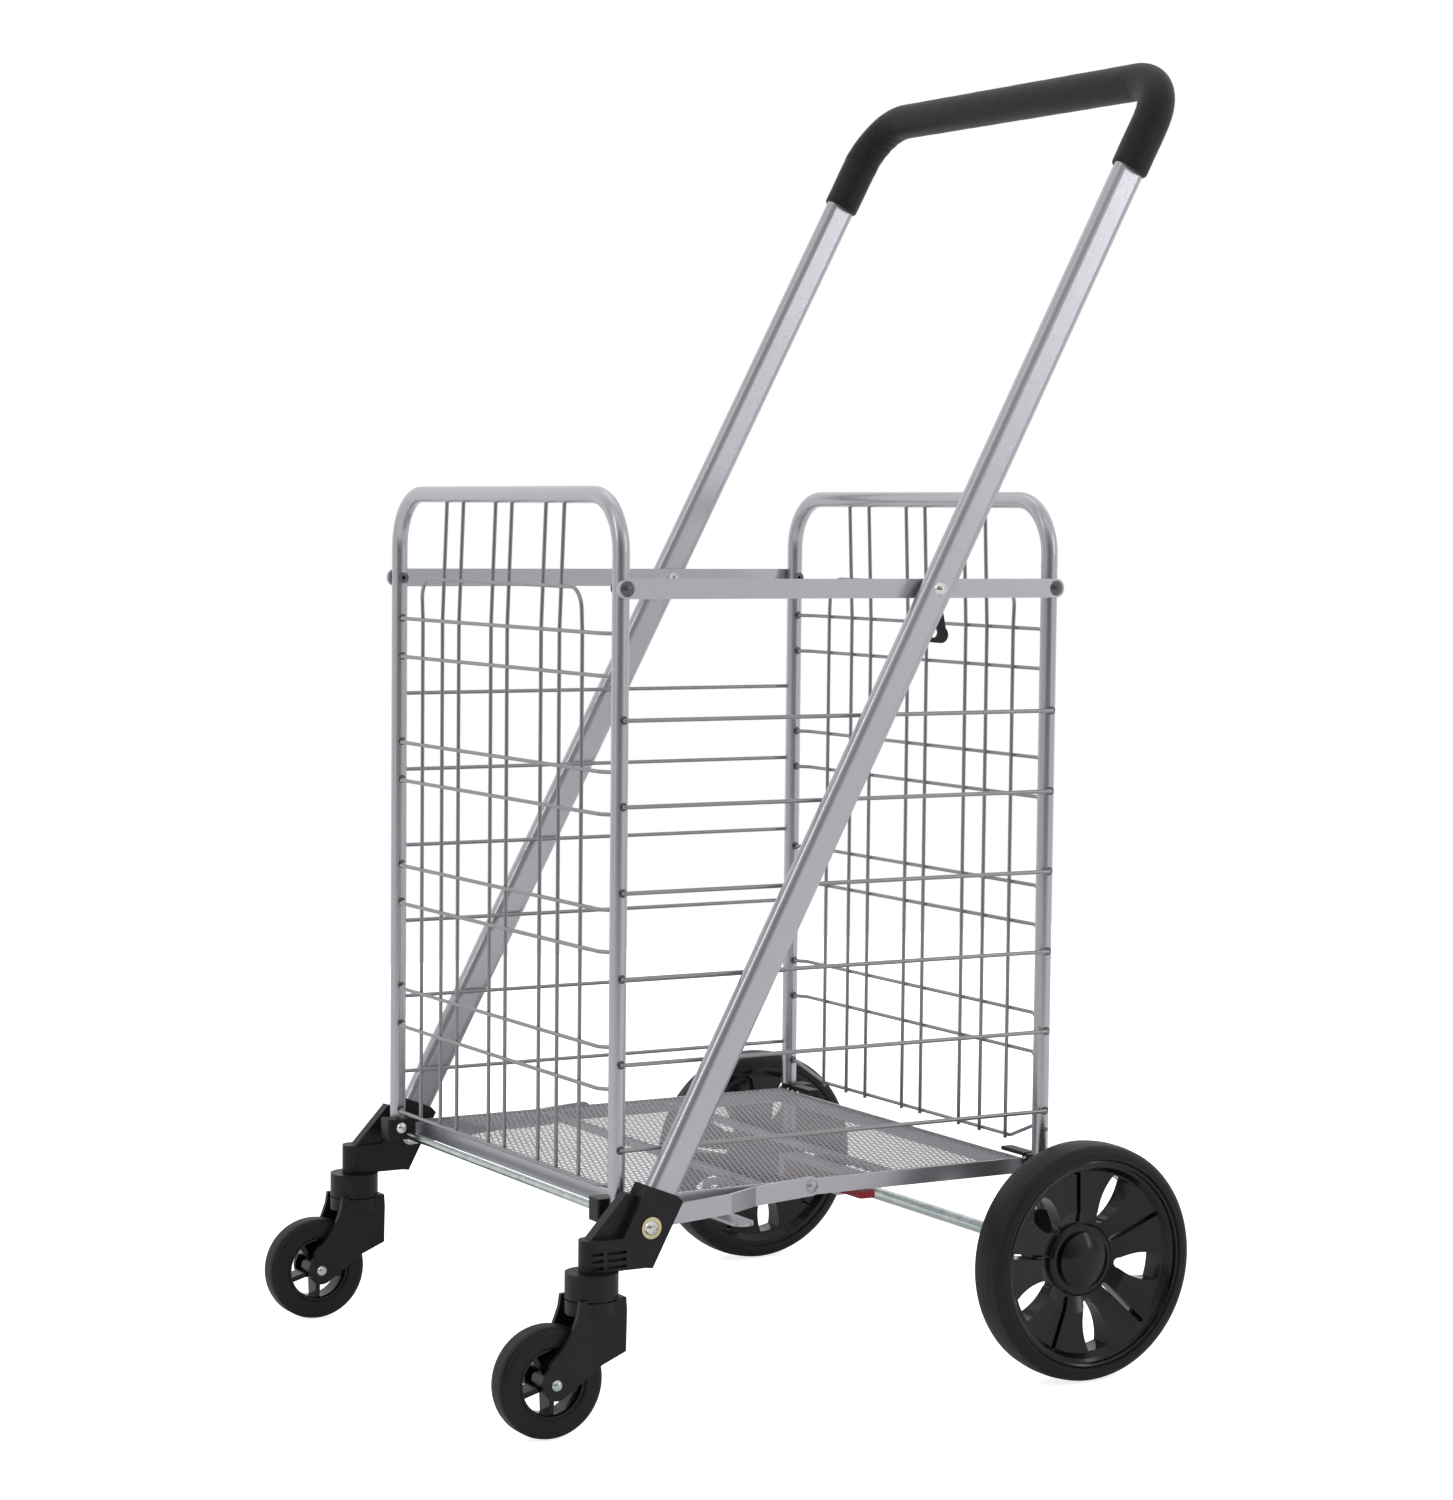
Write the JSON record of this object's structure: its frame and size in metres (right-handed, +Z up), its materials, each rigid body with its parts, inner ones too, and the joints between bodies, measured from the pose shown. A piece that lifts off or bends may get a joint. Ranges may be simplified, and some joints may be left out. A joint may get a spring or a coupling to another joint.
{
  "type": "folding shopping trolley",
  "caption": "Upright folding wire basket trolley on two large rear wheels and two swivel casters, with an expanded metal platform and a leaning U handle with a foam grip.",
  "frame": {"origin": "on the floor, under the centre of the object's bounding box", "axes": "+X to the left side of the trolley, across it; +Y from the casters towards the big wheels, where the handle leans; +Z up"},
  "size_m": [0.5334, 0.59, 1.0162],
  "materials": {
    "frame_paint": "silver metallic powder coat",
    "wire_paint": "silver-grey powder coat on wire",
    "bar_paint": "silver-grey powder coat",
    "mesh_paint": "silver-grey powder coat on expanded mesh",
    "rivet_grey": "dark grey coat",
    "bright_chrome": "polished",
    "zinc": "bright zinc",
    "brass_washer": "yellow zinc",
    "foam": "closed-cell foam",
    "black_plastic": "moulded, fine texture",
    "wheel_plastic": "glossy black",
    "red_plastic": "red",
    "tyre_rubber": "matte"
  },
  "bodies": {
    "front_frame": {"front_frame_tube": "frame_paint", "front_wire_panel": "wire_paint", "front_hinge_block_left": "black_plastic", "front_hinge_block_right": "black_plastic", "front_hinge_bolts": "bright_chrome", "front_cross_rod": "zinc", "front_bar_rivets": "rivet_grey", "front_foot_plates": "rivet_grey"},
    "side_bars": {"side_bar_left": "bar_paint", "side_bar_right": "bar_paint"},
    "rear_frame": {"rear_frame_tube": "frame_paint", "rear_wire_panel": "wire_paint", "rear_hinge_block_left": "black_plastic", "rear_hinge_block_right": "black_plastic", "rear_hinge_bolts": "bright_chrome", "rear_bar_rivets": "rivet_grey", "axle_housing_left": "black_plastic", "axle_housing_right": "black_plastic", "rear_axle": "zinc", "axle_spacers": "zinc", "axle_clips": "zinc"},
    "platform": {"platform_frame": "bar_paint", "platform_mesh": "mesh_paint", "link_rivets": "bar_paint"},
    "brace_links": {"brace_link_left": "bar_paint", "brace_link_right": "bar_paint", "link_nuts": "zinc"},
    "handle": {"handle_tube": "frame_paint", "handle_grip": "foam", "handle_rivets": "bright_chrome", "handle_spacer": "rivet_grey", "caster_bracket_left": "black_plastic", "caster_bracket_right": "black_plastic", "bracket_bolts": "bright_chrome", "bracket_washers": "brass_washer", "link_spacers": "zinc", "swivel_stems": "zinc"},
    "lock_hook": {"lock_hook": "black_plastic"},
    "pedal": {"fold_pedal": "bar_paint"},
    "release_slide": {"release_slide": "red_plastic"},
    "side_wires_1": {"side_wires_1": "wire_paint"},
    "side_wires_2": {"side_wires_2": "wire_paint"},
    "side_wires_3": {"side_wires_3": "wire_paint"},
    "side_wires_4": {"side_wires_4": "wire_paint"},
    "side_wires_5": {"side_wires_5": "wire_paint"},
    "side_wires_6": {"side_wires_6": "wire_paint"},
    "caster_fork_left": {"caster_fork_left": "black_plastic", "caster_axle_left": "zinc"},
    "caster_wheel_left": {"caster_rim_left": "wheel_plastic", "caster_tyre_left": "tyre_rubber"},
    "rear_wheel_left": {"rear_rim_left": "wheel_plastic", "rear_tyre_left": "tyre_rubber", "hub_cap_left": "wheel_plastic"},
    "caster_fork_right": {"caster_fork_right": "black_plastic", "caster_axle_right": "zinc"},
    "caster_wheel_right": {"caster_rim_right": "wheel_plastic", "caster_tyre_right": "tyre_rubber"},
    "rear_wheel_right": {"rear_rim_right": "wheel_plastic", "rear_tyre_right": "tyre_rubber", "hub_cap_right": "wheel_plastic"}
  },
  "joints": [
    {"name": "basket_fold", "type": "hinge", "parent": "front_frame", "child": "side_bars", "pos_m": [0, -0.1885, 0.606], "axis": [-1, 0, 0], "range_deg": [0, 76]},
    {"name": "rear_frame_fold", "type": "hinge", "parent": "side_bars", "child": "rear_frame", "pos_m": [0, 0.1865, 0.606], "axis": [-1, 0, 0], "range_deg": [-76, 0]},
    {"name": "platform_fold", "type": "hinge", "parent": "front_frame", "child": "platform", "pos_m": [0, -0.1915, 0.1565], "axis": [-1, 0, 0], "range_deg": [0, 76]},
    {"name": "handle_fold", "type": "hinge", "parent": "side_bars", "child": "handle", "pos_m": [0, 0.0695, 0.606], "axis": [-1, 0, 0], "range_deg": [-97.06, 0]},
    {"name": "brace_link_fold", "type": "hinge", "parent": "platform", "child": "brace_links", "pos_m": [0, -0.0195, 0.1565], "axis": [-1, 0, 0], "range_deg": [-147.48, 0]},
    {"name": "side_wires_1_fold", "type": "hinge", "parent": "front_frame", "child": "side_wires_1", "pos_m": [0, -0.1885, 0.5115], "axis": [-1, 0, 0], "range_deg": [0, 76]},
    {"name": "side_wires_2_fold", "type": "hinge", "parent": "front_frame", "child": "side_wires_2", "pos_m": [0, -0.1885, 0.4491], "axis": [-1, 0, 0], "range_deg": [0, 76]},
    {"name": "side_wires_3_fold", "type": "hinge", "parent": "front_frame", "child": "side_wires_3", "pos_m": [0, -0.1885, 0.3867], "axis": [-1, 0, 0], "range_deg": [0, 76]},
    {"name": "side_wires_4_fold", "type": "hinge", "parent": "front_frame", "child": "side_wires_4", "pos_m": [0, -0.1885, 0.3243], "axis": [-1, 0, 0], "range_deg": [0, 76]},
    {"name": "side_wires_5_fold", "type": "hinge", "parent": "front_frame", "child": "side_wires_5", "pos_m": [0, -0.1885, 0.2619], "axis": [-1, 0, 0], "range_deg": [0, 76]},
    {"name": "side_wires_6_fold", "type": "hinge", "parent": "front_frame", "child": "side_wires_6", "pos_m": [0, -0.1885, 0.1995], "axis": [-1, 0, 0], "range_deg": [0, 76]},
    {"name": "lock_hook_swing", "type": "hinge", "parent": "side_bars", "child": "lock_hook", "pos_m": [0.2016, 0.0695, 0.606], "axis": [1, 0, 0], "range_deg": [0, 70]},
    {"name": "pedal_press", "type": "hinge", "parent": "platform", "child": "pedal", "pos_m": [0.138, -0.0725, 0.146], "axis": [0, -1, 0], "range_deg": [0, 8]},
    {"name": "release_slide_travel", "type": "slide", "parent": "platform", "child": "release_slide", "axis": [1, 0, 0], "range_m": [0, 0.006]},
    {"name": "caster_swivel_left", "type": "hinge", "parent": "handle", "child": "caster_fork_left", "pos_m": [0.2098, -0.2185, 0.1], "axis": [0, 0, 1], "continuous": true},
    {"name": "caster_roll_left", "type": "hinge", "parent": "caster_fork_left", "child": "caster_wheel_left", "pos_m": [0.2098, -0.254, 0.041], "axis": [1, 0, 0], "continuous": true},
    {"name": "rear_roll_left", "type": "hinge", "parent": "rear_frame", "child": "rear_wheel_left", "pos_m": [0.248, 0.1865, 0.0918], "axis": [1, 0, 0], "continuous": true},
    {"name": "caster_swivel_right", "type": "hinge", "parent": "handle", "child": "caster_fork_right", "pos_m": [-0.2098, -0.2185, 0.1], "axis": [0, 0, 1], "continuous": true},
    {"name": "caster_roll_right", "type": "hinge", "parent": "caster_fork_right", "child": "caster_wheel_right", "pos_m": [-0.2098, -0.254, 0.041], "axis": [1, 0, 0], "continuous": true},
    {"name": "rear_roll_right", "type": "hinge", "parent": "rear_frame", "child": "rear_wheel_right", "pos_m": [-0.248, 0.1865, 0.0918], "axis": [1, 0, 0], "continuous": true}
  ],
  "couplings": [
    {"joint": "rear_frame_fold", "follows": "basket_fold", "ratio": -1},
    {"joint": "platform_fold", "follows": "basket_fold", "ratio": 1},
    {"joint": "handle_fold", "follows": "basket_fold", "ratio": -1.277},
    {"joint": "brace_link_fold", "follows": "basket_fold", "ratio": -1.9404},
    {"joint": "side_wires_1_fold", "follows": "basket_fold", "ratio": 1},
    {"joint": "side_wires_2_fold", "follows": "basket_fold", "ratio": 1},
    {"joint": "side_wires_3_fold", "follows": "basket_fold", "ratio": 1},
    {"joint": "side_wires_4_fold", "follows": "basket_fold", "ratio": 1},
    {"joint": "side_wires_5_fold", "follows": "basket_fold", "ratio": 1},
    {"joint": "side_wires_6_fold", "follows": "basket_fold", "ratio": 1}
  ]
}
